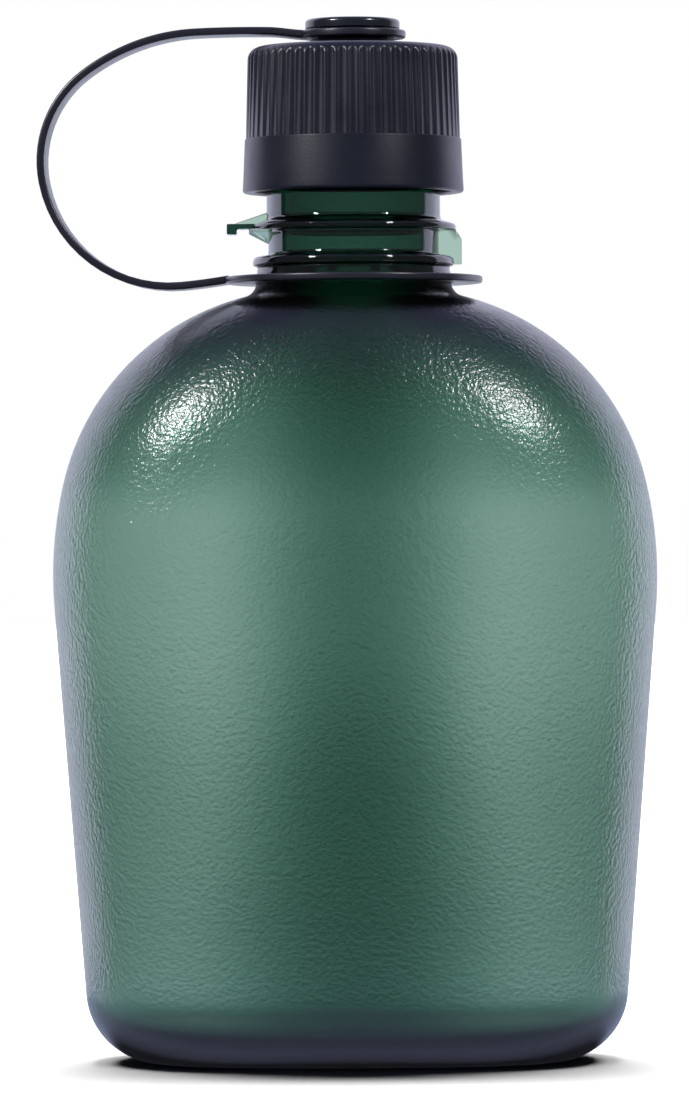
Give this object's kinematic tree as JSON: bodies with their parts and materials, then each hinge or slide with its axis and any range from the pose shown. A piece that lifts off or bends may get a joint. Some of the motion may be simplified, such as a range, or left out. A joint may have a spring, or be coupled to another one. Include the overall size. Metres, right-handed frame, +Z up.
{
  "type": "canteen",
  "caption": "Kidney-shaped translucent one-litre canteen with a ribbed screw cap, a looped tether strap and two small lugs on the neck.",
  "frame": {"origin": "on the neck's axis, in the plane of the foot ring that the bottle stands on", "axes": "+Z up along the neck; -Y the convex front; +Y the hollowed back; -X towards the tether's loop"},
  "size_m": [0.1352, 0.0751, 0.2274],
  "materials": {
    "bottle": "frosted translucent, clear and glossy on the neck",
    "cap": "satin moulded",
    "liner": "soft foam",
    "button": "gloss moulded",
    "tether": "satin moulded, flexible"
  },
  "bodies": {
    "bottle": {"bottle_body": "bottle", "bottle_neck": "bottle"},
    "tether_base": {"tether_neck_ring": "tether", "tether_strap": "tether"},
    "tether_top": {"tether_cap_ring": "tether"},
    "button": {"tether_button": "button"},
    "cap": {"cap": "cap", "cap_liner": "liner"}
  },
  "joints": [
    {"name": "cap_turn", "type": "hinge", "parent": "button", "child": "cap", "pos_m": [0, 0, 0.2], "axis": [0, 0, 1], "range_deg": [0, 540]},
    {"name": "cap_lift", "type": "slide", "parent": "bottle", "child": "button", "axis": [0, 0, 1], "range_m": [0, 0.0066]},
    {"name": "tether_swivel", "type": "hinge", "parent": "bottle", "child": "tether_base", "pos_m": [0, 0, 0.17], "axis": [0, 0, 1], "continuous": true},
    {"name": "tether_lift", "type": "slide", "parent": "tether_base", "child": "tether_top", "axis": [0, 0, 1], "range_m": [0, 0.0066], "deforming": ["tether_strap"]}
  ],
  "couplings": [
    {"joint": "cap_lift", "follows": "cap_turn", "m_per_rad": 0.00067376},
    {"joint": "tether_lift", "follows": "cap_turn", "m_per_rad": 0.00067376}
  ]
}
